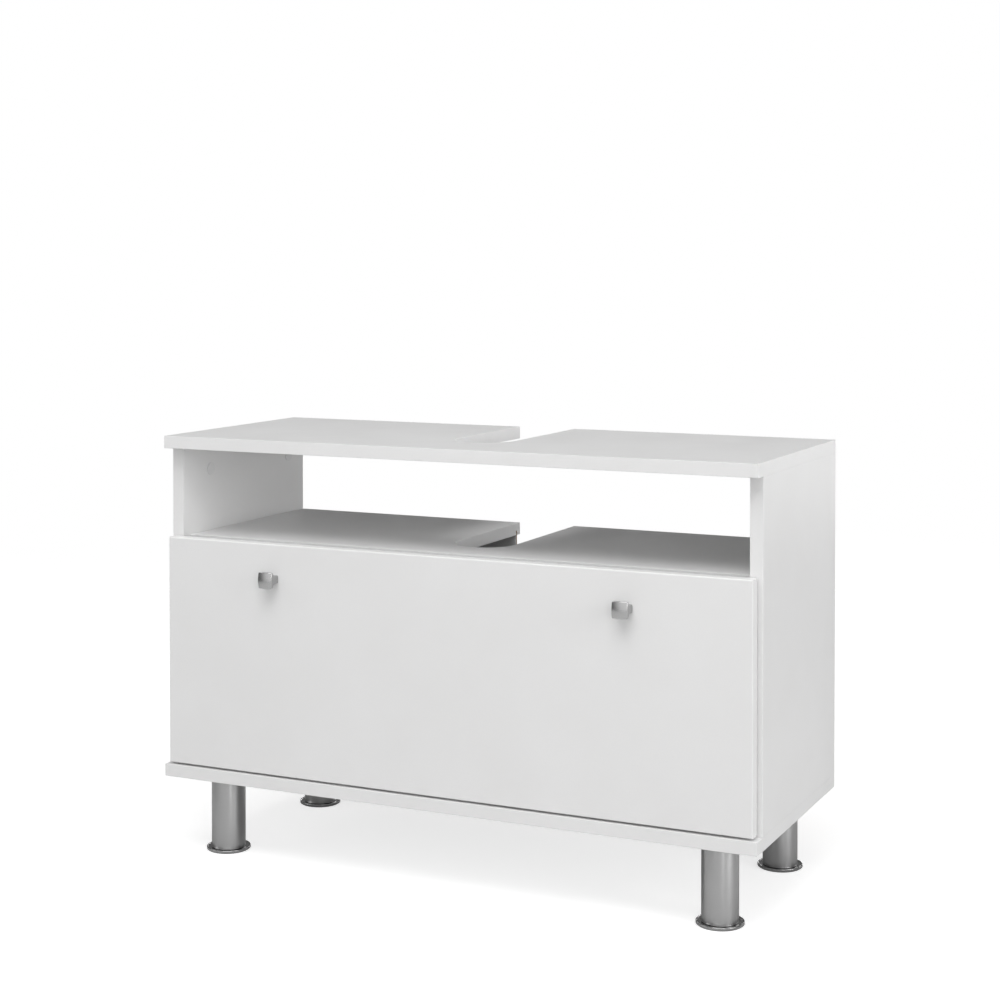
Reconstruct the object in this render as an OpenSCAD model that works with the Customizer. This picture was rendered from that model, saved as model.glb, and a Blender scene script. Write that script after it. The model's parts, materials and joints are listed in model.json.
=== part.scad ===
// Bathroom vanity cabinet: a free-standing flat-pack carcass that stands under
// a wall-hung basin. It has an open compartment over a drop-down flap, U-shaped
// cut-outs for the drain in its top board, shelf and back panel, and four legs.
// Millimetres. +Z up, -Y is the front, the floor is Z = 0.

/* [Carcass] */
// Overall width
cabinet_w = 800; // [700:10:900]
// Depth of the top and bottom boards
cabinet_d = 320; // [310:5:360]
// Height of the carcass without its legs
carcass_h = 442; // [430:2:480]
// Thickness of the boards and of the flap
board_t = 16; // [16:1:18]
// Thickness of the back panel
back_t = 3; // [3:0.5:4]
// Height of the shelf's top face above the underside of the carcass
shelf_rise = 311; // [290:1:315]
// Distance from the boards' front edge back to the shelf's front edge
shelf_setback = 34; // [30:1:50]

/* [Pipe cut-outs] */
// Width of the cut-outs, with a half-round front end
cutout_w = 80; // [60:5:120]
// Distance from the boards' front edge to the cut-outs' round end
cutout_front = 91; // [80:1:120]
// Depth of the back panel's cut-out below the shelf's top face
back_cutout_h = 150; // [100:5:180]

/* [Flap] */
// Distance from the flap's end to the end of the boards
flap_inset = 6; // [4:1:8]
// Distance from the boards' front edge back to the flap's face
flap_setback = 2; // [1:0.5:4]
// Gap between the flap and the side panels' front edges
flap_rear_gap = 2; // [2:0.5:3]
// Gap between the flap and the bottom board
flap_floor_gap = 2.5; // [2.5:0.5:4]
// Radius of the flap's edges
flap_edge_r = 1.5; // [1:0.5:2]

/* [Knobs] */
// Distance from the middle of the cabinet to a knob
knob_x = 239; // [150:1:300]
// Distance from the flap's top edge down to a knob
knob_drop = 43.5; // [30:0.5:80]
// Width of a knob's face
knob_w = 19.5; // [16:0.5:24]
// Height of a knob's face
knob_h = 20.5; // [16:0.5:24]
// How far a knob stands out from the flap
knob_reach = 18; // [15:1:24]

/* [Legs] */
// Height of a leg, floor to carcass
leg_h = 101; // [90:1:150]
// Outer diameter of a leg's tube
leg_d = 44; // [40:1:50]
// Wall of a leg's tube
leg_wall = 1.2; // [1:0.1:2]
// Diameter of a levelling foot
foot_d = 57; // [50:1:64]
// Thickness of a levelling foot with its pad
foot_h = 4; // [3:0.5:6]
// Distance from a leg's axis to the end of the boards
leg_side = 62; // [50:1:90]
// Distance from a front leg's axis to the boards' front edge
leg_front = 54.5; // [45:0.5:90]
// Distance from a back leg's axis to the boards' back edge
leg_back = 30.5; // [30:0.5:90]

/* [Flap hinges] */
// Distance from the middle of the cabinet to a hinge
hinge_x = 280; // [200:5:310]
// Distance of the hinge pin behind the flap's face
pin_in = 5.5; // [5.5:0.1:6]
// Distance of the hinge pin above the flap's bottom edge
pin_up = 6; // [5.8:0.1:6.2]
// Diameter of a hinge cup
cup_d = 35; // [35:1:36]

/* [Flap stays] */
// Height of a stay's rivet above the hinge pin
stay_rise = 100; // [85:5:110]
// Angle of a stay's stud on the circle that its rivet travels
stud_angle = 55; // [50:1:60]
// Width of a stay's bar
bar_w = 14; // [12:1:16]
// Thickness of a stay's bar
bar_t = 2; // [1.5:0.5:2]

/* [Hidden] */
$fn = 64;

// Running clearance of a pin in its bore, and clearance of a loose fit
run_gap = 0.05;
loose_gap = 0.1;
// How far a cutting shape runs past the face that it opens
past = 1;

// Wood screws: the shank's depth in the board, and the hole in the fitting
wood_screw_d = 3;
wood_head = [6, 1.6];
screw_in = 9;
pilot_spare = 0.4;
screw_hole_d = 3.6;

// Whole cabinet
half_w = cabinet_w / 2;
knob_proud = knob_reach - flap_setback;
total_d = cabinet_d + knob_proud;
back_y = total_d / 2;
front_y = back_y - cabinet_d;
inner_x = half_w - board_t;
carcass_z = leg_h;
floor_z = carcass_z + board_t;
top_z = carcass_z + carcass_h;
ceiling_z = top_z - board_t;
shelf_top_z = carcass_z + shelf_rise;
shelf_z = shelf_top_z - board_t;
side_front_y = front_y + flap_setback + board_t + flap_rear_gap;
shelf_front_y = front_y + shelf_setback;

// Back panel, held in a groove on all four sides
groove_deep = 6;
groove_inset = 10;
groove_w = back_t + 2 * loose_gap;
groove_y = back_y - groove_inset - groove_w;
cutout_r = cutout_w / 2;
cutout_y = front_y + cutout_front + cutout_r;

// Flap
flap_half_w = half_w - flap_inset;
flap_front_y = front_y + flap_setback;
flap_back_y = flap_front_y + board_t;
flap_z = floor_z + flap_floor_gap;
flap_top_z = shelf_top_z;
knob_z = flap_top_z - knob_drop;

// Knobs
knob_base = [20, 10];
knob_base_d = 4;
knob_flare_d = 12;
knob_corner_r = 1.5;
knob_crown_r = 24;
knob_overlap = 0.5;
knob_screw_d = 4;
knob_screw_head = [8, 2.4];
knob_thread_deep = 8;

// Carcass fittings: cams and their bolts, and dowels
cam_d = 15;
cam_deep = 12.5;
cam_back = 34;
cam_slot_w = 1.2;
cam_slot_deep = 2.5;
bore_spare = 0.5;
bolt_reach = 11;
bolt_thread_d = 5;
bolt_shank_d = 6;
bolt_bore_d = 8;
bolt_head_d = 6.4;
bolt_head_l = 3.5;
bolt_head_behind = 2.5;
bolt_neck_d = 4;
cap_d = 17;
cap_t = 0.8;
dowel_d = 8;
dowel_in_face = 11.5;
dowel_in_edge = 18.5;
cam_front = 64;
cam_rear = 40;
dowel_step = 32;
cam_ys = [side_front_y + cam_front, back_y - cam_rear];
dowel_ys = [cam_ys[0] + dowel_step, cam_ys[1] - dowel_step];

// Hinges, measured from the pin's axis: +Y to the back, +Z up
hinge_y = flap_front_y + pin_in;
hinge_z = flap_z + pin_up;
pin_d = 2.2;
pin_len = 15.5;
knuckle_r = 1.95;
knuckle_half_w = 3.5;
pocket_gap = 0.25;
cup_r = cup_d / 2;
cup_edge = 3;
cup_up = cup_edge + cup_r - pin_up;
cup_mouth = board_t - pin_in;
cup_wall = 1.5;
cup_floor = -2.7;
pocket_floor = -2.25;
cheek_top = 3.2;
flange_t = 1.2;
flange_r = 19;
ear_half_w = 22.5;
ear_r = 6;
ear_up = cup_up + 9.5;
neck_t = 2.2;
neck_y = 13.2;
neck_z = 13;
board_top = -pin_up - flap_floor_gap;
plate_t = 2.5;
ridge_half_w = 6.4;
ridge_h = 7;
channel_t = 1.5;
channel_half_w = 8;
channel_top = board_top + ridge_h + channel_t;
channel_end = 58;
ridge_start = 18;
wing_y = 29.5;
wing_half_w = 24;
wing_half_d = 6;
wing_screw_x = 16;
clamp_screw_y = 46;
clamp_screw_d = 4;
clamp_screw_in = 5;
clamp_head = [7.5, 2];
adjust_screw_y = 22;
adjust_screw_d = 5;
adjust_screw_up = 1.2;

// Stays. The stud stands on the circle that the rivet travels about the hinge
// pin, so the bar turns exactly half as far as the flap.
bar_end = 8;
rivet_back = cup_mouth + bar_end;
stay_r = sqrt(rivet_back * rivet_back + stay_rise * stay_rise);
rivet_angle = atan2(stay_rise, rivet_back);
bar_angle = (rivet_angle + stud_angle) / 2 - 90;
slot_start = 2 * stay_r * sin((rivet_angle - stud_angle) / 2);
slot_end = 2 * stay_r * sin((rivet_angle + 90 - stud_angle) / 2);
bar_len = slot_end + bar_end;
bar_play = 0.3;
bar_x = inner_x - 8.7;
stud_neck_d = 5;
stud_head_d = 9;
stud_head_t = 2;
stud_spacer_d = 10;
stud_in = 12;
slot_w = stud_neck_d + 0.4;
rivet_d = 5;
rivet_head_d = 9;
rivet_head_t = 1.3;
ear_t = 2;
ear_half_h = rivet_head_d / 2 + 2;
bracket_foot_w = 16;
bracket_foot_h = 44;
bracket_screw_z = 15;

// Catches, set under the shelf on the side panels' inner faces
catch_z = shelf_z - 48;
catch_half_h = 15;
catch_ear_h = 9;
catch_w = 13;
catch_d = 15;
catch_ear_t = 3;
catch_ear_inset = 1;
catch_wall = 2;
catch_back_wall = 3;
catch_y = side_front_y - 0.3;
pole_t = 1.5;
pole_proud = 0.2;
strike_t = 1.2;
strike_half_h = 17;
strike_w = 12;
strike_sink = [2.2, 7];
strike_head_d = 5.4;
bumper_d = 8;
bumper_t = flap_rear_gap - 0.3;
bumper_zs = [hinge_z + 55, flap_top_z - 14];

// Legs
foot_edge = 0.8;
dish_deep = 1;
dish_rim = 1.5;
dish_z = foot_h - dish_deep;
tube_end_z = dish_z + 0.5;
pad_t = 0.8;
pad_inset = 1.5;
boss_d = 18;
stem_d = 10;
stem_top = 45;
bush_top = 32;
plate_d = 58;
leg_plate_t = 2.5;
collar_h = 12;
collar_wall = 3;
leg_screw_r = 25.6;
tube_r = leg_d / 2;
bore_r = tube_r - leg_wall;

// ---- Shapes that repeat ----

// A box from one corner to the opposite one
module block(low, high)
    translate(low) cube(high - low);

// Outlines drawn in (y, z), (x, z) or (x, y) and extruded along X, Y or Z
module along_x(x0, x1)
    translate([x0, 0, 0]) rotate([90, 0, 90]) linear_extrude(x1 - x0) children();
module along_y(y0, y1)
    translate([0, y1, 0]) rotate([90, 0, 0]) linear_extrude(y1 - y0) children();
module along_z(z0, z1)
    translate([0, 0, z0]) linear_extrude(z1 - z0) children();

// Round bars along X, Y or Z
module rod_x(x0, x1, d)
    translate([x0, 0, 0]) rotate([0, 90, 0]) cylinder(h = x1 - x0, d = d);
module rod_y(y0, y1, d)
    translate([0, y0, 0]) rotate([-90, 0, 0]) cylinder(h = y1 - y0, d = d);
module rod_z(z0, z1, d)
    translate([0, 0, z0]) cylinder(h = z1 - z0, d = d);

// A rectangle about the origin with round corners
module round_rect(w, h, r) {
    square([w - 2 * r, h], center = true);
    square([w, h - 2 * r], center = true);
    for (x = [-1, 1], y = [-1, 1])
        translate([x * (w / 2 - r), y * (h / 2 - r)]) circle(r);
}

// A straight stadium outline from one round end's centre to the other, along X
module stadium(x0, x1, w) {
    translate([x0, -w / 2]) square([x1 - x0, w]);
    for (x = [x0, x1]) translate([x, 0]) circle(d = w);
}

// Everything is drawn for the right end and mirrored for the left one
module on_side(side)
    mirror([side < 0 ? 1 : 0, 0, 0]) children();
module both_sides()
    for (side = [-1, 1]) on_side(side) children();

// Screw with its tip down, the underside of its cross-slotted head at the origin
module screw(d, length, head) {
    slot_half_l = head[0] * 0.28;
    slot_half_w = 0.4;
    slot_floor = head[1] * 0.45;
    rod_z(-length, past / 2, d);
    difference() {
        cylinder(h = head[1], d1 = head[0], d2 = head[0] * 0.8);
        for (turn = [0, 90]) rotate(turn)
            block([-slot_half_l, -slot_half_w, slot_floor],
                  [slot_half_l, slot_half_w, head[1] + past]);
    }
}

// A wood screw through a fitting of thickness t, its hole there, and its pilot
// bore in the board. +Z points out of the board's face.
module wood_screw(t)
    translate([0, 0, t]) screw(wood_screw_d, t + screw_in, wood_head);
module screw_hole(t) rod_z(-past, t + past, screw_hole_d);
module pilot() rod_z(-screw_in - pilot_spare, past, wood_screw_d + 2 * run_gap);

// Half-round pipe cut-out that runs out through the back edge
module pipe_cutout()
    translate([0, cutout_y]) {
        circle(cutout_r);
        translate([-cutout_r, 0]) square([cutout_w, cabinet_d]);
    }

// ---- Where the carcass joints are ----

// Places children at the right end's joints: origin where the panel's edge meets
// the board's face, +X into the board, +Z towards the compartment.
module top_joints(ys)
    for (y = ys) translate([inner_x + board_t / 2, y, ceiling_z]) rotate([0, -90, 0]) children();
module bottom_joints(ys)
    for (y = ys) translate([inner_x + board_t / 2, y, floor_z])
        mirror([0, 0, 1]) rotate([0, -90, 0]) children();
module shelf_joints(ys)
    for (y = ys) translate([inner_x, y, shelf_z + board_t / 2]) rotate([180, 0, 0]) children();
module all_joints(ys)
    both_sides() {
        top_joints(ys) children();
        bottom_joints(ys) children();
        shelf_joints(ys) children();
    }

// Cuts in the panel whose edge meets the board
module cam_pocket() {
    translate([-cam_back, 0, 0])
        rod_z(board_t / 2 - cam_deep - loose_gap, board_t / 2 + past, cam_d + 2 * run_gap);
    rod_x(-cam_back, past, bolt_bore_d);
}
module dowel_edge_bore() rod_x(-dowel_in_edge - bore_spare, past, dowel_d + 2 * run_gap);

// Cuts in the board whose face is met
module bolt_bore() rod_x(-past, bolt_reach + bore_spare, bolt_thread_d + 2 * run_gap);
module dowel_face_bore() rod_x(-past, dowel_in_face + bore_spare, dowel_d + 2 * run_gap);

// ---- Carcass ----

module top_board()
    color("white") difference() {
        block([-half_w, front_y, ceiling_z], [half_w, back_y, top_z]);
        along_z(ceiling_z - past, top_z + past) pipe_cutout();
        both_sides() {
            top_joints(cam_ys) bolt_bore();
            top_joints(dowel_ys) dowel_face_bore();
        }
    }

module bottom_board()
    color("white") difference() {
        block([-half_w, front_y, carcass_z], [half_w, back_y, floor_z]);
        block([-inner_x - groove_deep, groove_y, floor_z - groove_deep],
              [inner_x + groove_deep, groove_y + groove_w, floor_z + past]);
        both_sides() {
            bottom_joints(cam_ys) bolt_bore();
            bottom_joints(dowel_ys) dowel_face_bore();
            wing_screw_spots() pilot();
        }
        leg_screw_spots() pilot();
    }

module side_panel(side)
    color("white") on_side(side) difference() {
        block([inner_x, side_front_y, floor_z], [half_w, back_y, ceiling_z]);
        block([inner_x - past, groove_y, floor_z - past],
              [inner_x + groove_deep, groove_y + groove_w, shelf_z + groove_deep]);
        top_joints(cam_ys) cam_pocket();
        bottom_joints(cam_ys) cam_pocket();
        top_joints(dowel_ys) dowel_edge_bore();
        bottom_joints(dowel_ys) dowel_edge_bore();
        shelf_joints(cam_ys) bolt_bore();
        shelf_joints(dowel_ys) dowel_face_bore();
        at_stud()
            rod_x(inner_x - past, inner_x + stud_in + pilot_spare, wood_screw_d + 2 * run_gap);
        catch_screw_spots() pilot();
    }

module shelf_board()
    color("white") difference() {
        block([-inner_x, shelf_front_y, shelf_z], [inner_x, back_y, shelf_top_z]);
        along_z(shelf_z - past, shelf_top_z + past) pipe_cutout();
        block([-inner_x - past, groove_y, shelf_z - past],
              [inner_x + past, groove_y + groove_w, shelf_z + groove_deep]);
        both_sides() {
            shelf_joints(cam_ys) cam_pocket();
            shelf_joints(dowel_ys) dowel_edge_bore();
        }
    }

// Hardboard sheet behind the closed compartment only
module back_panel()
    color("white") difference() {
        edge_gap = 0.5;
        sheet_x = inner_x + groove_deep - edge_gap;
        sheet_y = groove_y + loose_gap;
        notch_z = shelf_top_z - back_cutout_h + cutout_r;
        block([-sheet_x, sheet_y, floor_z - groove_deep + edge_gap],
              [sheet_x, sheet_y + back_t, shelf_z + groove_deep - edge_gap]);
        along_y(sheet_y - past, sheet_y + back_t + past) {
            translate([0, notch_z]) circle(cutout_r);
            translate([-cutout_r, notch_z]) square([cutout_w, back_cutout_h]);
        }
    }

// ---- Flap and knobs ----

module flap_panel()
    color("white") difference() {
        intersection() {
            along_x(-flap_half_w, flap_half_w)
                translate([(flap_front_y + flap_back_y) / 2, (flap_z + flap_top_z) / 2])
                    round_rect(board_t, flap_top_z - flap_z, flap_edge_r);
            along_z(flap_z - past, flap_top_z + past)
                translate([0, (flap_front_y + flap_back_y) / 2])
                    round_rect(2 * flap_half_w, board_t, flap_edge_r);
        }
        both_sides() {
            at_hinge() translate([0, 0, cup_up])
                rod_y(cup_floor - loose_gap, cup_mouth + past, cup_d + 2 * loose_gap);
            cup_screw_spots() pilot();
            bracket_screw_spots() pilot();
            strike_screw_spot() pilot();
            at_knob() rod_y(-past, board_t + past, knob_screw_d + 2 * loose_gap);
        }
    }

module at_knob()
    translate([knob_x, flap_front_y, knob_z]) children();

// Cushion-shaped face on a flared neck
module knob(side)
    color("silver") on_side(side) at_knob() difference() {
        union() {
            along_y(-knob_base_d, 0)
                round_rect(knob_base[0], knob_base[1], knob_corner_r);
            hull() {
                along_y(-knob_base_d, -knob_base_d + knob_overlap)
                    round_rect(knob_base[0], knob_base[1], knob_corner_r, $fn = 32);
                along_y(-knob_flare_d - knob_overlap, -knob_flare_d)
                    round_rect(knob_w, knob_h, knob_corner_r, $fn = 32);
            }
            intersection() {
                along_y(-knob_reach - past, -knob_flare_d)
                    round_rect(knob_w, knob_h, knob_corner_r);
                translate([0, knob_crown_r - knob_reach, 0]) sphere(knob_crown_r);
            }
        }
        rod_y(-knob_thread_deep, past, knob_screw_d + 2 * run_gap);
    }

module knob_screws()
    color("gainsboro") both_sides() at_knob() translate([0, board_t, 0]) rotate([-90, 0, 0])
        screw(knob_screw_d, board_t + knob_thread_deep - bore_spare, knob_screw_head);

// ---- Flap hinges ----

module at_hinge()
    translate([hinge_x, hinge_y, hinge_z]) children();

// Screw spots, each with +Z out of the face that the screw enters
module cup_screw_spots()
    at_hinge() for (x = [-ear_half_w, ear_half_w])
        translate([x, cup_mouth, ear_up]) rotate([-90, 0, 0]) children();
module wing_screw_spots()
    at_hinge() for (x = [-wing_screw_x, wing_screw_x])
        translate([x, wing_y, board_top]) children();

// Cup with a flange and ears; a pocket takes the arm's knuckle
module hinge_cup(side)
    color("silver") on_side(side) difference() {
        at_hinge() difference() {
            union() {
                translate([0, 0, cup_up]) rod_y(cup_floor, cup_mouth, cup_d);
                along_y(cup_mouth, cup_mouth + flange_t) {
                    translate([0, cup_up]) circle(flange_r);
                    translate([0, ear_up]) stadium(-ear_half_w, ear_half_w, 2 * ear_r);
                }
            }
            intersection() {
                translate([0, 0, cup_up])
                    rod_y(pocket_floor, cup_mouth + past + flange_t, cup_d - 2 * cup_wall);
                block([-cup_r, cup_floor, cheek_top], [cup_r, 2 * cup_mouth, 2 * cup_r]);
            }
            block([-knuckle_half_w - pocket_gap, pocket_floor, -knuckle_r - pocket_gap],
                  [knuckle_half_w + pocket_gap, cup_mouth + past + flange_t, cup_up]);
            rod_x(-pin_len / 2, pin_len / 2, pin_d);
        }
        cup_screw_spots() screw_hole(flange_t);
    }

// Goose-neck arm: up inside the cup, out through its mouth, down to a channel
module hinge_arm(side)
    color("silver") on_side(side) at_hinge() difference() {
        union() {
            rod_x(-knuckle_half_w, knuckle_half_w, 2 * knuckle_r);
            along_x(-knuckle_half_w, knuckle_half_w) neck_outline();
            block([-channel_half_w, neck_y, channel_top - channel_t],
                  [channel_half_w, channel_end, channel_top]);
            for (x = [-channel_half_w, channel_half_w - channel_t])
                block([x, neck_y, board_top + plate_t], [x + channel_t, channel_end, channel_top]);
        }
        rod_x(-channel_half_w, channel_half_w, pin_d + 2 * run_gap);
        for (y = [adjust_screw_y, clamp_screw_y])
            translate([0, y, 0])
                rod_z(channel_top - channel_t - past, channel_top + past,
                      adjust_screw_d + 2 * loose_gap);
    }

// The neck's side view, a strip with two rounded bends
module neck_outline() {
    half_t = neck_t / 2;
    translate([-half_t, 0]) square([neck_t, neck_z]);
    translate([half_t, neck_z]) square([neck_y - half_t, neck_t]);
    translate([neck_y, channel_top - channel_t])
        square([neck_t, neck_z - channel_top + channel_t]);
    intersection() {
        translate([half_t, neck_z]) circle(neck_t);
        translate([-half_t, neck_z]) square(neck_t);
    }
    intersection() {
        translate([neck_y, neck_z]) circle(neck_t);
        translate([neck_y, neck_z]) square(neck_t);
    }
}

module hinge_plate(side)
    color("silver") on_side(side) difference() {
        at_hinge() difference() {
            union() {
                along_z(board_top, board_top + plate_t) translate([0, wing_y])
                    round_rect(2 * wing_half_w, 2 * wing_half_d, 3);
                block([-ridge_half_w, ridge_start, board_top],
                      [ridge_half_w, channel_end, board_top + ridge_h]);
            }
            translate([0, clamp_screw_y, 0])
                rod_z(board_top - past, board_top + ridge_h + past, clamp_screw_d + 2 * run_gap);
        }
        wing_screw_spots() screw_hole(plate_t);
    }

module hinge_pins()
    color("gray") both_sides() at_hinge() rod_x(-pin_len / 2, pin_len / 2, pin_d);

module hinge_cup_screws()
    color("gainsboro") both_sides() cup_screw_spots() wood_screw(flange_t);

module hinge_plate_screws()
    color("gainsboro") both_sides() wing_screw_spots() wood_screw(plate_t);

// The clamping screw enters the ridge, and the adjusting screw bears on it
module hinge_arm_screws()
    color("gainsboro") both_sides() at_hinge() {
        translate([0, clamp_screw_y, channel_top])
            screw(clamp_screw_d, channel_t + clamp_screw_in, clamp_head);
        translate([0, adjust_screw_y, channel_top])
            rod_z(-channel_t, adjust_screw_up, adjust_screw_d);
    }

// ---- Flap stays ----

module at_rivet()
    translate([0, hinge_y + rivet_back, hinge_z + stay_rise]) children();
module at_stud()
    translate([0, hinge_y + stay_r * cos(stud_angle), hinge_z + stay_r * sin(stud_angle)])
        children();
module bracket_screw_spots()
    for (z = [-bracket_screw_z, bracket_screw_z])
        translate([bar_x - bar_play - bracket_foot_w / 2 - ear_t / 2,
                   flap_back_y, hinge_z + stay_rise + z])
            rotate([-90, 0, 0]) children();

// Flat slotted bar, round at both ends, that swings on the rivet
module stay_bar(side)
    color("silver") on_side(side) at_rivet() difference() {
        along_x(bar_x, bar_x + bar_t) rotate(bar_angle) difference() {
            stadium(0, bar_len, bar_w);
            stadium(slot_start, slot_end, slot_w);
        }
        rod_x(bar_x - past, bar_x + bar_t + past, rivet_d + 2 * run_gap);
    }

// Angle bracket on the flap's back: a foot and an ear that carries the rivet
module stay_bracket(side)
    color("silver") on_side(side) difference() {
        ear_x = bar_x - bar_play;
        union() {
            at_rivet() along_x(ear_x - ear_t, ear_x) {
                circle(ear_half_h);
                translate([-bar_end, -ear_half_h]) square([bar_end, 2 * ear_half_h]);
            }
            translate([ear_x - bracket_foot_w / 2, 0, hinge_z + stay_rise])
                along_y(flap_back_y, flap_back_y + ear_t)
                    round_rect(bracket_foot_w, bracket_foot_h, 3);
        }
        at_rivet() rod_x(ear_x - ear_t - past, ear_x + past, rivet_d + 2 * run_gap);
        bracket_screw_spots() screw_hole(ear_t);
    }

module stay_rivets()
    color("gray") both_sides() at_rivet() {
        inner = bar_x - bar_play - ear_t;
        outer = bar_x + bar_t + loose_gap;
        rod_x(inner - past / 2, outer + past / 2, rivet_d);
        rod_x(inner - rivet_head_t, inner, rivet_head_d);
        rod_x(outer, outer + rivet_head_t, rivet_head_d);
    }

// Shoulder screw in the side panel; the bar slides between its spacer and head
module stay_studs()
    color("gray") both_sides() at_stud() {
        inner = bar_x - bar_play;
        outer = bar_x + bar_t + bar_play;
        rod_x(inner_x, inner_x + stud_in, wood_screw_d);
        rod_x(outer, inner_x, stud_spacer_d);
        rod_x(inner, outer + loose_gap, stud_neck_d);
        rod_x(inner - stud_head_t, inner, stud_head_d);
    }

module stay_bracket_screws()
    color("gainsboro") both_sides() bracket_screw_spots() wood_screw(ear_t);

// ---- Catches and bumpers ----

module catch_screw_spots()
    for (z = [-1, 1])
        translate([inner_x, catch_y + catch_d / 2,
                   catch_z + z * (catch_half_h + catch_ear_h / 2)])
            rotate([0, -90, 0]) children();
module strike_screw_spot()
    translate([inner_x - catch_w / 2, flap_back_y, catch_z]) rotate([-90, 0, 0]) children();

// Hollow housing with a screwed ear at each end
module catch_housing(side)
    color("white") on_side(side) difference() {
        union() {
            block([inner_x - catch_w, catch_y, catch_z - catch_half_h],
                  [inner_x, catch_y + catch_d, catch_z + catch_half_h]);
            block([inner_x - catch_ear_t, catch_y + catch_ear_inset,
                   catch_z - catch_half_h - catch_ear_h],
                  [inner_x, catch_y + catch_d - catch_ear_inset,
                   catch_z + catch_half_h + catch_ear_h]);
        }
        block([inner_x - catch_w + catch_wall, catch_y - past,
               catch_z - catch_half_h + catch_wall],
              [inner_x - catch_wall, catch_y + catch_d - catch_back_wall,
               catch_z + catch_half_h - catch_wall]);
        catch_screw_spots() screw_hole(catch_ear_t);
    }

// Ferrite block between two steel pole plates, inside each housing
module catch_magnets()
    color("dimgray") both_sides() {
        back = catch_y + catch_d - catch_back_wall;
        low_x = inner_x - catch_w + catch_wall + loose_gap;
        high_x = inner_x - catch_wall - loose_gap;
        half_h = catch_half_h - catch_wall - loose_gap;
        magnet_sunk = 1;
        for (x = [low_x, high_x - pole_t])
            block([x, catch_y - pole_proud, catch_z - half_h], [x + pole_t, back, catch_z + half_h]);
        block([low_x + pole_t, catch_y + magnet_sunk, catch_z - half_h],
              [high_x - pole_t, back, catch_z + half_h]);
    }

module strike_plates()
    color("silver") both_sides() difference() {
        translate([inner_x - catch_w / 2, 0, catch_z])
            along_y(flap_back_y, flap_back_y + strike_t)
                round_rect(strike_w, 2 * strike_half_h, 2);
        strike_screw_spot()
            translate([0, 0, -past / 2])
                cylinder(h = strike_t + past, d1 = strike_sink[0], d2 = strike_sink[1]);
    }

module catch_screws()
    color("gainsboro") both_sides() catch_screw_spots() wood_screw(catch_ear_t);

// Countersunk, flush with the strike plates' faces
module strike_screws()
    color("gainsboro") both_sides() strike_screw_spot() {
        cylinder(h = strike_t - loose_gap, d1 = wood_screw_d, d2 = strike_head_d);
        rod_z(-screw_in, loose_gap, wood_screw_d);
    }

// Soft stops between the flap's back and the side panels' front edges
module flap_bumpers()
    color("whitesmoke") both_sides()
        for (z = bumper_zs)
            translate([(inner_x + flap_half_w) / 2, flap_back_y, z]) rotate([-90, 0, 0])
                cylinder(h = bumper_t, d1 = bumper_d, d2 = bumper_d - 2);

// ---- Carcass fittings ----

// Cam drums, each with a mouth for its bolt and a screwdriver slot
module cam_housings()
    color("darkgray") all_joints(cam_ys) translate([-cam_back, 0, 0]) difference() {
        rod_z(board_t / 2 - cam_deep, board_t / 2 - cap_t, cam_d);
        rod_x(-bolt_head_behind - past, cam_d, bolt_head_d + 1);
        block([-cam_d / 4, -cam_slot_w / 2, board_t / 2 - cam_slot_deep],
              [cam_d / 4, cam_slot_w / 2, board_t / 2 + past]);
    }

module cam_bolts()
    color("silver") all_joints(cam_ys) {
        head_x = -cam_back - bolt_head_behind;
        neck_x = head_x + bolt_head_l;
        shank_x = neck_x + cam_d / 2;
        rod_x(0, bolt_reach, bolt_thread_d);
        rod_x(shank_x, 0, bolt_shank_d);
        rod_x(neck_x, shank_x, bolt_neck_d);
        rod_x(head_x, neck_x, bolt_head_d);
    }

module cam_caps()
    color("white") all_joints(cam_ys) translate([-cam_back, 0, 0]) {
        rod_z(board_t / 2, board_t / 2 + cap_t, cap_d);
        rod_z(board_t / 2 - cap_t + loose_gap, board_t / 2 + cap_t / 2, cam_d - 1);
    }

module dowels()
    color("burlywood") all_joints(dowel_ys)
        rod_x(-dowel_in_edge, dowel_in_face, dowel_d);

// ---- Legs: side is -1 left and 1 right, end is -1 front and 1 back ----

module at_leg(side, end)
    translate([side * (half_w - leg_side), end < 0 ? front_y + leg_front : back_y - leg_back, 0])
        children();
module plate_screw_ring()
    for (turn = [45 : 90 : 315])
        rotate(turn) translate([leg_screw_r, 0, carcass_z]) rotate([180, 0, 0]) children();
module leg_screw_spots()
    for (side = [-1, 1], end = [-1, 1])
        at_leg(side, end) plate_screw_ring() children();

// Round plate under the carcass, with a collar that the tube is pushed on
module leg_plate(side, end)
    color("darkgray") at_leg(side, end) difference() {
        union() {
            rod_z(carcass_z - leg_plate_t, carcass_z, plate_d);
            rod_z(carcass_z - leg_plate_t - collar_h, carcass_z, 2 * (bore_r - run_gap));
        }
        rod_z(carcass_z - leg_plate_t - collar_h - past, carcass_z - leg_plate_t,
              2 * (bore_r - collar_wall));
        plate_screw_ring() screw_hole(leg_plate_t);
    }

module leg_tube(side, end)
    color("silver") at_leg(side, end) difference() {
        rod_z(tube_end_z, carcass_z - leg_plate_t, leg_d);
        rod_z(tube_end_z - past, carcass_z, 2 * bore_r);
    }

// Plastic plug in the tube's lower end, bored for the foot's stem
module leg_bush(side, end)
    color("dimgray") at_leg(side, end) difference() {
        rod_z(tube_end_z, bush_top, 2 * (bore_r - run_gap));
        rod_z(dish_z, bush_top + past, stem_d + 2 * run_gap);
    }

module leg_screws()
    color("gainsboro") leg_screw_spots() wood_screw(leg_plate_t);

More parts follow.
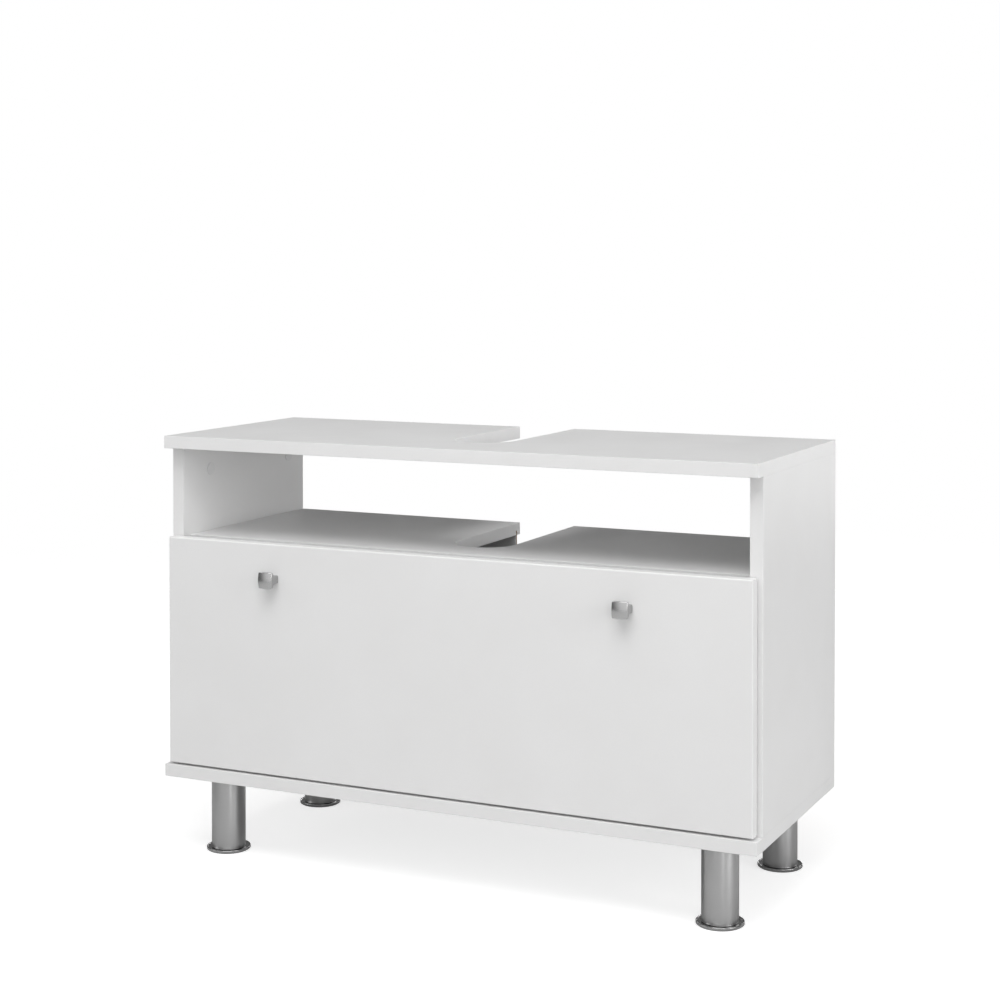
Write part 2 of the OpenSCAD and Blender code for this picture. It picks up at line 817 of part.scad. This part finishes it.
// Levelling foot: a dished disc with a raised boss and a stem, and a pad under it
module foot(side, end)
    color("silver") at_leg(side, end) {
        difference() {
            union() {
                rod_z(pad_t, foot_h - foot_edge, foot_d);
                translate([0, 0, foot_h - foot_edge])
                    cylinder(h = foot_edge, d1 = foot_d, d2 = foot_d - 2 * foot_edge);
            }
            rod_z(dish_z, foot_h + past, foot_d - 2 * dish_rim);
        }
        rod_z(pad_t, tube_end_z - loose_gap, boss_d);
        rod_z(pad_t, stem_top, stem_d);
    }

module foot_pad(side, end)
    color("black") at_leg(side, end) rod_z(0, pad_t, foot_d - 2 * pad_inset);

// ---- Assembly ----

top_board();
bottom_board();
side_panel(-1);  // left_side_panel
side_panel(1);  // right_side_panel
shelf_board();
back_panel();
flap_panel();
knob(-1);  // left_knob
knob(1);  // right_knob
knob_screws();
hinge_cup(-1);  // left_hinge_cup
hinge_cup(1);  // right_hinge_cup
hinge_arm(-1);  // left_hinge_arm
hinge_arm(1);  // right_hinge_arm
hinge_plate(-1);  // left_hinge_plate
hinge_plate(1);  // right_hinge_plate
hinge_pins();
hinge_cup_screws();
hinge_plate_screws();
hinge_arm_screws();
stay_bar(-1);  // left_stay_bar
stay_bar(1);  // right_stay_bar
stay_bracket(-1);  // left_stay_bracket
stay_bracket(1);  // right_stay_bracket
stay_rivets();
stay_studs();
stay_bracket_screws();
catch_housing(-1);  // left_catch_housing
catch_housing(1);  // right_catch_housing
catch_magnets();
strike_plates();
catch_screws();
strike_screws();
flap_bumpers();
cam_housings();
cam_bolts();
cam_caps();
dowels();
leg_plate(-1, -1);  // leg_plate_front_left
leg_plate(1, -1);  // leg_plate_front_right
leg_plate(-1, 1);  // leg_plate_back_left
leg_plate(1, 1);  // leg_plate_back_right
leg_tube(-1, -1);  // leg_tube_front_left
leg_tube(1, -1);  // leg_tube_front_right
leg_tube(-1, 1);  // leg_tube_back_left
leg_tube(1, 1);  // leg_tube_back_right
leg_bush(-1, -1);  // leg_bush_front_left
leg_bush(1, -1);  // leg_bush_front_right
leg_bush(-1, 1);  // leg_bush_back_left
leg_bush(1, 1);  // leg_bush_back_right
leg_screws();
foot(-1, -1);  // foot_front_left
foot(1, -1);  // foot_front_right
foot(-1, 1);  // foot_back_left
foot(1, 1);  // foot_back_right
foot_pad(-1, -1);  // foot_pad_front_left
foot_pad(1, -1);  // foot_pad_front_right
foot_pad(-1, 1);  // foot_pad_back_left
foot_pad(1, 1);  // foot_pad_back_right
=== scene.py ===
# Bathroom vanity cabinet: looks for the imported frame. Metres, +Z up, -Y is the front.
import json
import math

import bmesh
import bpy
from mathutils import Euler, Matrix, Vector


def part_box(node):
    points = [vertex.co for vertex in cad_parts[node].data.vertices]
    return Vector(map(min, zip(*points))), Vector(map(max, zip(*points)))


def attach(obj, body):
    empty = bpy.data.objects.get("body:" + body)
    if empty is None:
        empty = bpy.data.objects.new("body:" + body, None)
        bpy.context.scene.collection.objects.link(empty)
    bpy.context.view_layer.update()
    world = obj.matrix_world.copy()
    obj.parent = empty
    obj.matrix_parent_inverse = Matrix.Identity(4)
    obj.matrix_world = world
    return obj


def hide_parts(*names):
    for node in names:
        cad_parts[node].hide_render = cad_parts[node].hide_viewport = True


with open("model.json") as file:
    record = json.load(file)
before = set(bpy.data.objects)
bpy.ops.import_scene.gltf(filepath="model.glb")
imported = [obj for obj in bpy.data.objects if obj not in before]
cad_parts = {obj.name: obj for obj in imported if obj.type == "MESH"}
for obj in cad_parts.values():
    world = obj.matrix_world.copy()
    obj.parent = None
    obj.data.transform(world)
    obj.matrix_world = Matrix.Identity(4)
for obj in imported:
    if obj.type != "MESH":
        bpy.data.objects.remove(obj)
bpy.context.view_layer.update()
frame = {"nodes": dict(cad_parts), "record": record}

MM = 0.001
nodes = frame["nodes"]


# ---- Node graphs ----


class Graph:
    """A node tree that is filled by calls: sockets link, other values are set."""

    def __init__(self, tree):
        self.tree = tree
        tree.nodes.clear()

    def put(self, socket, value):
        if isinstance(value, bpy.types.NodeSocket):
            self.tree.links.new(value, socket)
        elif value is not None:
            socket.default_value = value

    def node(self, kind, *values, settings=(), **named):
        made = self.tree.nodes.new(kind)
        for key, value in dict(settings).items():
            setattr(made, key, value)
        for place, value in enumerate(values):
            self.put(made.inputs[place], value)
        for key, value in named.items():
            self.put(made.inputs[key.replace("_", " ")], value)
        return made

    def math(self, operation, *values, clamp=False):
        made = self.node("ShaderNodeMath", *values,
                         settings={"operation": operation, "use_clamp": clamp})
        return made.outputs[0]

    def ramp(self, value, low, high, to_low=0.0, to_high=1.0, smooth=False):
        """value between low and high, mapped to to_low and to_high, and held past them."""
        kind = "SMOOTHSTEP" if smooth else "LINEAR"
        made = self.node("ShaderNodeMapRange", value, low, high, to_low, to_high,
                         settings={"interpolation_type": kind, "clamp": True})
        return made.outputs[0]

    def mix(self, factor, a, b):
        made = self.node("ShaderNodeMix", settings={"data_type": "RGBA", "clamp_factor": True})
        for place, value in ((0, factor), (6, a), (7, b)):
            self.put(made.inputs[place], value)
        return made.outputs[2]

    def place(self, scale=(1, 1, 1)):
        """Position on the object, in metres, stretched by scale."""
        spot = self.node("ShaderNodeTexCoord").outputs["Object"]
        return self.node("ShaderNodeMapping", spot, Scale=scale).outputs[0]

    def noise(self, spot, scale, detail=2.0, roughness=0.5):
        return self.node("ShaderNodeTexNoise", Vector=spot, Scale=scale, Detail=detail,
                         Roughness=roughness).outputs[0]

    def cells(self, spot, scale):
        return self.node("ShaderNodeTexVoronoi", Vector=spot, Scale=scale).outputs["Distance"]

    def bump(self, height, distance, below=None):
        return self.node("ShaderNodeBump", Height=height, Distance=distance,
                         Normal=below).outputs[0]


def grey(value, warm=0.0):
    """A near-neutral linear colour, slightly warm above 0 and cool below."""
    return (value * (1 + warm), value, value * (1 - warm), 1.0)


def start_material(name):
    made = bpy.data.materials.new(name)
    made.use_nodes = True
    return made, Graph(made.node_tree)


def finish_material(g, colour, roughness, normal, **constants):
    shader = g.node("ShaderNodeBsdfPrincipled", Base_Color=colour, Roughness=roughness,
                    Normal=normal, **constants)
    g.node("ShaderNodeOutputMaterial", Surface=shader.outputs[0])


# ---- Materials ----

# Linear reflectance of the white board, and its edge banding
BOARD_WHITE = 0.80
BAND_T = 0.8 * MM
SEAM_HALF = 0.13 * MM


def board_material(name, node, thin_axis, value=BOARD_WHITE):
    """Melamine on chipboard: pearl embossing, faint mottling, and the seams of its edge bands."""
    made, g = start_material(name)
    spot = g.place()
    mottle = g.ramp(g.noise(spot, 11, 3.0), 0.3, 0.7)
    flecks = g.ramp(g.noise(spot, 420, 2.0), 0.35, 0.65)
    colour = g.mix(mottle, grey(value * 0.985, 0.003), grey(value * 1.01, 0.001))
    colour = g.mix(g.math("MULTIPLY", flecks, 0.12), colour, grey(value * 0.93))
    low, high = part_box(node)
    position = g.node("ShaderNodeSeparateXYZ", spot)
    seam = None
    for axis in range(3):
        if axis == thin_axis:
            continue
        middle, half = (low[axis] + high[axis]) / 2, (high[axis] - low[axis]) / 2
        off_middle = g.math("ABSOLUTE", g.math("SUBTRACT", position.outputs[axis], middle))
        from_seam = g.math("ABSOLUTE", g.math("SUBTRACT", off_middle, half - BAND_T))
        line = g.ramp(from_seam, 0.0, SEAM_HALF, 1.0, 0.0)
        seam = line if seam is None else g.math("MAXIMUM", seam, line)
    colour = g.mix(g.math("MULTIPLY", seam, 0.35), colour, grey(value * 0.6, 0.01))
    smudge = g.ramp(g.noise(spot, 17, 4.0, 0.6), 0.3, 0.7, 0.37, 0.46)
    roughness = g.math("ADD", smudge, g.math("MULTIPLY", seam, 0.2), clamp=True)
    pearl = g.bump(g.cells(spot, 520), 0.012 * MM)
    grain = g.bump(g.noise(spot, 1500, 2.0), 0.006 * MM, pearl)
    groove = g.bump(g.math("SUBTRACT", 1.0, seam), 0.05 * MM, grain)
    finish_material(g, colour, roughness, groove, IOR=1.5)
    return made


def sheet_material(name, node):
    """Hardboard: white lacquer inside, bare pressed fibre behind and on its cut edges."""
    made, g = start_material(name)
    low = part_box(node)[0]
    skin = 0.25 * MM
    spot = g.place()
    depth = g.node("ShaderNodeSeparateXYZ", spot).outputs[1]
    bare = g.ramp(depth, low.y + skin, low.y + 2 * skin)
    fibre = g.noise(g.place((1, 1, 0.35)), 900, 5.0, 0.7)
    clump = g.noise(spot, 60, 4.0, 0.6)
    brown = g.mix(g.ramp(fibre, 0.35, 0.65), (0.20, 0.115, 0.055, 1), (0.37, 0.24, 0.135, 1))
    brown = g.mix(g.ramp(clump, 0.35, 0.7, 0.0, 0.5), brown, (0.17, 0.095, 0.045, 1))
    white = g.mix(g.ramp(g.noise(spot, 14, 3.0), 0.3, 0.7), grey(0.75, 0.004), grey(0.78, 0.002))
    colour = g.mix(bare, white, brown)
    roughness = g.ramp(bare, 0.0, 1.0, 0.42, 0.88)
    screen = g.bump(g.cells(spot, 700), 0.03 * MM)
    finish_material(g, colour, roughness, g.bump(fibre, 0.02 * MM, screen), IOR=1.5)
    return made


# Turns the direction of the highlights from round Z to along Z
QUARTER_TURN = 0.25


def metal_material(name, value, warm, rough, stretch, marks, deep, turned=0.0):
    """Metal with fine marks: stretch lengthens them, marks says how strongly they show. turned
    draws the highlights out along Z, as grooves that run round a lathe-turned piece do."""
    made, g = start_material(name)
    lines = g.noise(g.place(stretch), 1, 3.0, 0.6)
    cloud = g.noise(g.place(), 45, 3.0)
    shade = g.math("ADD", g.math("MULTIPLY", lines, 0.6), g.math("MULTIPLY", cloud, 0.4))
    colour = g.mix(g.ramp(shade, 0.3, 0.7), grey(value * (1 - marks), warm),
                   grey(value * (1 + marks), warm))
    roughness = g.ramp(shade, 0.25, 0.75, rough * (1 - 2 * marks), rough * (1 + 2 * marks))
    around = {}
    if turned:
        tangent = g.node("ShaderNodeTangent", settings={"direction_type": "RADIAL", "axis": "Z"})
        around = {"Tangent": tangent.outputs[0], "Anisotropic": turned,
                  "Anisotropic_Rotation": QUARTER_TURN}
    finish_material(g, colour, roughness, g.bump(lines, deep * MM), Metallic=1.0, **around)
    return made


def plastic_material(name, colour_low, colour_high, rough, deep, scale=1800):
    """Moulded plastic or rubber with a spark-eroded surface."""
    made, g = start_material(name)
    spot = g.place()
    colour = g.mix(g.ramp(g.noise(spot, 90, 3.0), 0.3, 0.7), colour_low, colour_high)
    roughness = g.ramp(g.noise(spot, 260, 2.0), 0.3, 0.7, rough * 0.9, rough * 1.1)
    finish_material(g, colour, roughness, g.bump(g.noise(spot, scale, 3.0), deep * MM))
    return made


def wood_material(name):
    """Beech, with its grain along X."""
    made, g = start_material(name)
    grain = g.noise(g.place((40, 900, 900)), 1, 4.0, 0.6)
    rays = g.cells(g.place((250, 1600, 1600)), 1)
    colour = g.mix(g.ramp(grain, 0.3, 0.7), (0.42, 0.25, 0.12, 1), (0.60, 0.41, 0.23, 1))
    colour = g.mix(g.ramp(rays, 0.0, 0.3, 0.35, 0.0), colour, (0.33, 0.18, 0.08, 1))
    finish_material(g, colour, g.ramp(grain, 0.3, 0.7, 0.55, 0.7), g.bump(grain, 0.03 * MM))
    return made


FINE = (3000, 3000, 3000)
materials = {
    "satin_nickel": metal_material("satin_nickel", 0.66, 0.0, 0.18, FINE, 0.05, 0.001),
    # The rougher nickel for the knobs' sides and necks: its darker colour is painted shade
    "cast_nickel_painted_shade": metal_material("cast_nickel_painted_shade", 0.42, 0.0, 0.28, FINE, 0.06, 0.002),
    "nickel_steel": metal_material("nickel_steel", 0.62, 0.02, 0.24, (900, 120, 900), 0.05, 0.002),
    "steel_pins": metal_material("steel_pins", 0.45, 0.0, 0.30, (100, 2500, 2500), 0.06, 0.002),
    "zinc_screws": metal_material("zinc_screws", 0.62, -0.02, 0.34, (700, 700, 700), 0.12, 0.004),
    "zinc_castings": metal_material("zinc_castings", 0.42, -0.01, 0.48, (1400, 1400, 1400), 0.12,
                                    0.02),
    "satin_steel_tube": metal_material("satin_steel_tube", 0.56, 0.0, 0.34, (25, 25, 4200), 0.03,
                                       0.0006, 0.6),
    "turned_disc": metal_material("turned_disc", 0.46, 0.0, 0.11, (60, 60, 5000), 0.03, 0.0006),
    "white_plastic": plastic_material("white_plastic", grey(0.74), grey(0.78), 0.42, 0.006),
    "grey_plastic": plastic_material("grey_plastic", grey(0.045), grey(0.06), 0.5, 0.01),
    "black_plastic": plastic_material("black_plastic", grey(0.010), grey(0.018), 0.7, 0.03, 900),
    "ferrite": plastic_material("ferrite", grey(0.012), grey(0.025), 0.6, 0.02, 1200),
    "clear_rubber": plastic_material("clear_rubber", grey(0.55, -0.01), grey(0.62), 0.25, 0.004),
    "beech": wood_material("beech"),
}
BOARD_AXES = {
    "top_board": 2, "bottom_board": 2, "shelf_board": 2,
    "left_side_panel": 0, "right_side_panel": 0, "flap_panel": 1,
}
slot_of = {row["node"]: row["material_slot"] for row in frame["record"]["subparts"]}
for node, piece in nodes.items():
    if node in BOARD_AXES:
        material = board_material(node + "_white", node, BOARD_AXES[node])
    elif node == "back_panel":
        material = sheet_material("hardboard_sheet", node)
    else:
        material = materials[slot_of[node]]
    for place in piece.material_slots:
        place.material = material


# ---- Small rounded edges on the CAD nodes ----


def smooth_group():
    """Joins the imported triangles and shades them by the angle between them."""
    made = bpy.data.node_groups.new("join_and_shade", "GeometryNodeTree")
    made.interface.new_socket("Geometry", in_out="INPUT", socket_type="NodeSocketGeometry")
    made.interface.new_socket("Geometry", in_out="OUTPUT", socket_type="NodeSocketGeometry")
    g = Graph(made)
    start = g.node("NodeGroupInput").outputs[0]
    joined = g.node("GeometryNodeMergeByDistance", Geometry=start, Distance=0.002 * MM).outputs[0]
    plain = g.node("GeometryNodeRemoveAttribute", Geometry=joined, Name="custom_normal").outputs[0]
    smooth = g.node("GeometryNodeSetShadeSmooth", Geometry=plain, Shade_Smooth=True).outputs[0]
    angle = g.node("GeometryNodeInputMeshEdgeAngle").outputs[0]
    sharp = g.node("FunctionNodeCompare", settings={"operation": "GREATER_THAN"}, A=angle,
                   B=math.radians(30)).outputs[0]
    edges = g.node("GeometryNodeSetShadeSmooth", settings={"domain": "EDGE"}, Geometry=smooth,
                   Selection=sharp, Shade_Smooth=False).outputs[0]
    g.node("NodeGroupOutput", edges)
    return made


JOIN = smooth_group()


def round_edges(piece, width, segments=2):
    group = piece.modifiers.new("join", "NODES")
    group.node_group = JOIN
    flat = piece.modifiers.new("flat", "DECIMATE")
    flat.decimate_type = "DISSOLVE"
    flat.angle_limit = math.radians(0.5)
    bevel = piece.modifiers.new("edges", "BEVEL")
    bevel.width = width
    bevel.segments = segments
    bevel.limit_method = "ANGLE"
    bevel.angle_limit = math.radians(40)
    bevel.use_clamp_overlap = False
    bevel.harden_normals = True


for node in BOARD_AXES:
    if node != "flap_panel":
        round_edges(nodes[node], 0.5 * MM)

# ---- Pieces in finer detail ----


def add_piece(name, mesh, material, body, slot, *replaced):
    piece = bpy.data.objects.new(name, mesh)
    bpy.context.scene.collection.objects.link(piece)
    mesh.materials.append(materials[material])
    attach(piece, body)
    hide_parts(*replaced)
    return piece


def skin_rings(name, rings, close_start, close_end, wrap=False):
    """A mesh through rings of points, each with the same count. close_start and close_end are end
    points that fan the first and last ring shut. wrap joins the last ring to the first."""
    bm = bmesh.new()
    rows = [[bm.verts.new(point) for point in ring] for ring in rings]
    count = len(rows[0])
    pairs = list(zip(rows, rows[1:])) + ([(rows[-1], rows[0])] if wrap else [])
    for a, b in pairs:
        for i in range(count):
            j = (i + 1) % count
            bm.faces.new((a[i], a[j], b[j], b[i]))
    for point, row in ((close_start, rows[0]), (close_end, rows[-1])):
        if point is not None:
            tip = bm.verts.new(point)
            for i in range(count):
                bm.faces.new((tip, row[(i + 1) % count], row[i]) if row is rows[0]
                             else (tip, row[i], row[(i + 1) % count]))
    bmesh.ops.recalc_face_normals(bm, faces=bm.faces)
    made = bpy.data.meshes.new(name)
    bm.to_mesh(made)
    bm.free()
    made.polygons.foreach_set("use_smooth", [True] * len(made.polygons))
    return made


def arc(centre, radius, start, end, steps):
    """Points (r, z) on an arc, angles in degrees from the +r direction."""
    spread = [math.radians(start + (end - start) * i / steps) for i in range(steps + 1)]
    return [(centre[0] + radius * math.cos(a), centre[1] + radius * math.sin(a)) for a in spread]


def turned(name, profile, centre, segments=96, wrap=False):
    """A round piece from its (r, z) profile, shut where the profile starts or ends on the axis."""
    ends = [None, None]
    for place in (0, -1):
        if profile[place][0] == 0.0:
            ends[place] = (centre[0], centre[1], profile[place][1])
    rows = [point for point in profile if point[0] > 0]
    turns = [math.tau * i / segments for i in range(segments)]
    rings = [[(centre[0] + r * math.cos(a), centre[1] + r * math.sin(a), z) for a in turns]
             for r, z in rows]
    return skin_rings(name, rings, *ends, wrap=wrap)


def rounded_outline(half_w, half_h, corner, count_side=6, count_corner=6):
    """Points (x, z) round a rectangle with round corners, evenly shared out so that rings match."""
    points = []
    for sx, sz, start in ((1, 1, 0), (-1, 1, 90), (-1, -1, 180), (1, -1, 270)):
        mid = (sx * (half_w - corner), sz * (half_h - corner))
        points += arc(mid, corner, start, start + 90, count_corner)
        nxt = {(1, 1): (-1, 1), (-1, 1): (-1, -1), (-1, -1): (1, -1), (1, -1): (1, 1)}[(sx, sz)]
        goal_mid = (nxt[0] * (half_w - corner), nxt[1] * (half_h - corner))
        goal = arc(goal_mid, corner, start + 90, start + 90, 1)[0]
        last = points[-1]
        points += [(last[0] + (goal[0] - last[0]) * i / count_side,
                    last[1] + (goal[1] - last[1]) * i / count_side) for i in range(1, count_side)]
    return points


def knob_mesh(name, node):
    """A cushion-crowned square face on a flared neck with an oblong base."""
    low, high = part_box(node)
    cx, cz, back, reach = (low.x + high.x) / 2, (low.z + high.z) / 2, high.y, high.y - low.y
    half_w, half_h = (high.x - low.x) / 2, (high.z - low.z) / 2
    base_w, base_h, corner = 10 * MM, 5 * MM, 1.3 * MM
    crown_across, crown_up, bulge = 24 * MM, 38 * MM, 0.035

    base_corner, soft = 1.5 * MM, 0.35 * MM
    flare_start, flare_end, steps = 3.0, 12.5, 9

    def pillow(w, h, r, bow):
        """The outline with its sides bowed out and its corners pulled in."""
        return [(x * (1 - bow * (z / h) ** 2), z * (1 - bow * (x / w) ** 2))
                for x, z in rounded_outline(w, h, r)]

    def ring(outline, depth):
        return [(cx + x, back - depth, cz + z) for x, z in outline]

    rings = []
    for depth, inset in ((0.0, 0.25), (0.25, 0.0), (1.5, 0.0), (2.8, 0.0)):
        outline = rounded_outline(base_w - inset * MM, base_h - inset * MM, base_corner)
        rings.append(ring(outline, depth * MM))
    for i in range(steps + 1):
        t = i / steps
        swell = 1 - math.cos(t * math.pi / 2)
        w = base_w + (half_w - base_w) * swell
        h = base_h + (half_h - base_h) * swell
        depth = (flare_start + (flare_end - flare_start) * math.sin(t * math.pi / 2)) * MM
        r = base_corner + (corner - base_corner) * t
        rings.append(ring(pillow(w, h, r, bulge * t), depth))
    rim = pillow(half_w, half_h, corner, bulge)

    def crown_depth(x, z):
        return reach - x * x / (2 * crown_across) - z * z / (2 * crown_up)

    def crown_ring(share, drop):
        return [(cx + x, back - crown_depth(x, z) + drop, cz + z)
                for x, z in [(x * share, z * share) for x, z in rim]]

    shrink = soft / (half_w + half_h) * 2
    for i in range(1, 5):
        turn = math.radians(90 * i / 4)
        rings.append(crown_ring(1 - shrink * (1 - math.cos(turn)), soft * (1 - math.sin(turn))))
    for share in (0.86, 0.72, 0.58, 0.44, 0.30, 0.16, 0.06):
        rings.append(crown_ring(share * (1 - shrink), 0.0))
    return skin_rings(name, rings, (cx, back, cz), (cx, back - reach, cz))


# The knobs' faces are brushed; their sides and necks, further back, take a rougher nickel whose
# darker colour is painted shade
BRUSHED_DEPTH = 3.4 * MM
for side in ("left", "right"):
    node, name = side + "_knob", side + "_knob_cushion"
    piece = add_piece(name, knob_mesh(name, node), "satin_nickel", "flap", "satin_nickel", node)
    piece.data.materials.append(materials["cast_nickel_painted_shade"])
    side_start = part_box(node)[0].y + BRUSHED_DEPTH
    for face in piece.data.polygons:
        face.material_index = int(face.center.y > side_start)

TUBE_WALL = 1.2 * MM
for corner in ("front_left", "front_right", "back_left", "back_right"):
    tube_low, tube_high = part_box("leg_tube_" + corner)
    centre = ((tube_low.x + tube_high.x) / 2, (tube_low.y + tube_high.y) / 2)
    outer = (tube_high.x - tube_low.x) / 2
    inner, edge = outer - TUBE_WALL, 0.45 * MM
    bottom, top = tube_low.z, tube_high.z
    profile = arc((outer - edge, bottom + edge), edge, 0, -90, 4)
    profile += arc((inner + edge, bottom + edge), edge, -90, -180, 4)
    profile += arc((inner + edge, top - edge), edge, 180, 90, 4)
    profile += arc((outer - edge, top - edge), edge, 90, 0, 4)
    name = "leg_tube_satin_" + corner
    add_piece(name, turned(name, profile, centre, 128, True), "satin_steel_tube", "cabinet",
              "satin_steel_tube", "leg_tube_" + corner)

    low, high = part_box("foot_" + corner)
    disc_r, under, disc_top = (high.x - low.x) / 2, low.z, 4 * MM
    dish_r, dish_z, boss_r, boss_z, stem_r = disc_r - 1.5 * MM, 3 * MM, 9 * MM, 3.4 * MM, 5 * MM
    profile = [(0.0, under)]
    profile += arc((disc_r - 0.35 * MM, under + 0.35 * MM), 0.35 * MM, -90, 0, 3)
    profile += arc((disc_r - 0.6 * MM, disc_top - 0.6 * MM), 0.6 * MM, 0, 90, 5)
    profile += arc((dish_r + 0.3 * MM, disc_top - 0.3 * MM), 0.3 * MM, 90, 180, 3)
    profile += arc((dish_r - 0.4 * MM, dish_z + 0.4 * MM), 0.4 * MM, 0, -90, 3)
    profile += [(boss_r, dish_z), (boss_r, boss_z - 0.15 * MM), (boss_r - 0.15 * MM, boss_z)]
    profile += [(stem_r, boss_z), (stem_r, high.z - 0.8 * MM), (stem_r - 0.8 * MM, high.z)]
    profile += [(0.0, high.z)]
    name = "levelling_disc_" + corner
    add_piece(name, turned(name, profile, centre, 128), "turned_disc",
              "levelling_foot_" + corner, "satin_steel_tube", "foot_" + corner)

# ---- Floor, light and camera ----


def disc_mesh(name, radius, rings, segments):
    bm = bmesh.new()
    centre = bm.verts.new((0, 0, 0))
    last = None
    for ring in range(1, rings + 1):
        r = radius * (ring / rings) ** 2
        row = [bm.verts.new((r * math.cos(math.tau * i / segments),
                             r * math.sin(math.tau * i / segments), 0)) for i in range(segments)]
        for i in range(segments):
            j = (i + 1) % segments
            bm.faces.new((centre, row[i], row[j]) if last is None
                         else (last[i], row[i], row[j], last[j]))
        last = row
    made = bpy.data.meshes.new(name)
    bm.to_mesh(made)
    bm.free()
    return made


# The floor's radius, and the camera-only glow that makes it white
FLOOR_R = 3.2
FLOOR_GLOW = 0.68
floor = bpy.data.objects.new("floor", disc_mesh("floor", FLOOR_R, 12, 96))
bpy.context.scene.collection.objects.link(floor)
floor_look, g = start_material("floor_pale")
spot = g.place()
away = g.node("ShaderNodeVectorMath", spot, settings={"operation": "LENGTH"}).outputs["Value"]
fade = g.ramp(away, 0.9, FLOOR_R * 0.97, 0.0, 1.0, smooth=True)
tone = g.mix(g.ramp(g.noise(spot, 3, 4.0), 0.3, 0.7), grey(0.54), grey(0.57))
pale = g.node("ShaderNodeBsdfDiffuse", Color=tone)
rays = g.node("ShaderNodeLightPath")
glow = g.node("ShaderNodeEmission", Color=(1, 1, 1, 1),
              Strength=g.math("MULTIPLY", rays.outputs["Is Camera Ray"], FLOOR_GLOW))
both = g.node("ShaderNodeAddShader", pale.outputs[0], glow.outputs[0])
clear = g.node("ShaderNodeBsdfTransparent")
blend = g.node("ShaderNodeMixShader", fade, both.outputs[0], clear.outputs[0])
g.node("ShaderNodeOutputMaterial", Surface=blend.outputs[0])
floor.data.materials.append(floor_look)

scene = bpy.context.scene
scene.view_settings.view_transform = "Standard"

# Ambient light: strong in front, weak behind, and white where the camera sees past the object
world = bpy.data.worlds.new("studio")
scene.world = world
world.use_nodes = True
g = Graph(world.node_tree)
way = g.node("ShaderNodeTexCoord").outputs["Generated"]
AMBIENT_FROM = Vector((0.42, -0.82, 0.40)).normalized()
facing = g.node("ShaderNodeVectorMath", way, tuple(AMBIENT_FROM),
                settings={"operation": "DOT_PRODUCT"}).outputs["Value"]
AMBIENT_BACK, AMBIENT_FRONT = 0.16, 0.76
level = g.ramp(facing, 0.0, 1.0, AMBIENT_BACK, AMBIENT_FRONT, smooth=True)
ambient = g.node("ShaderNodeBackground", (1, 1, 1, 1), level)
seen = g.node("ShaderNodeBackground", (1, 1, 1, 1), 1.0)
camera_ray = g.node("ShaderNodeLightPath").outputs["Is Camera Ray"]
g.node("ShaderNodeOutputWorld", g.node("ShaderNodeMixShader", camera_ray, ambient.outputs[0],
                                       seen.outputs[0]).outputs[0])


def softbox(name, spot, target, size, energy):
    data = bpy.data.lights.new(name, "AREA")
    data.shape = "RECTANGLE"
    data.size, data.size_y = size
    data.energy = energy
    made = bpy.data.objects.new(name, data)
    made.location = spot
    made.rotation_mode = "QUATERNION"
    made.rotation_quaternion = (Vector(target) - Vector(spot)).to_track_quat("-Z", "Y")
    made.visible_camera = False
    scene.collection.objects.link(made)


MIDDLE = (0, 0, 0.3)
softbox("right_softbox", (3.6, -0.8, 1.2), MIDDLE, (1.8, 1.6), 38)
softbox("left_softbox", (-3.6, -1.6, 2.6), MIDDLE, (2.0, 1.6), 24)
softbox("top_softbox", (0.3, -1.35, 3.1), (0, 0, 0.5), (2.4, 2.0), 56)
softbox("strip_softbox", (2.2, -2.6, 0.85), MIDDLE, (0.5, 1.5), 7)
softbox("back_softbox", (-0.3, 3.4, 0.24), (0, 0, 0.26), (2.8, 0.36), 20)
softbox("back_fill", (2.5, 3.0, 0.95), MIDDLE, (2.0, 1.3), 12)

# The camera is level but for one degree, and shifted so that the cabinet is low in the view
camera_data = bpy.data.cameras.new("camera")
camera_data.lens = 69.75
camera_data.sensor_width = 36
camera_data.shift_y = -0.205
camera_data.clip_start, camera_data.clip_end = 0.1, 50
camera = bpy.data.objects.new("camera", camera_data)
camera.location = (1.062, -2.2295, 0.775)
camera.rotation_euler = Euler((math.radians(90 - 1.14), 0, math.radians(25.28)))
scene.collection.objects.link(camera)
scene.camera = camera
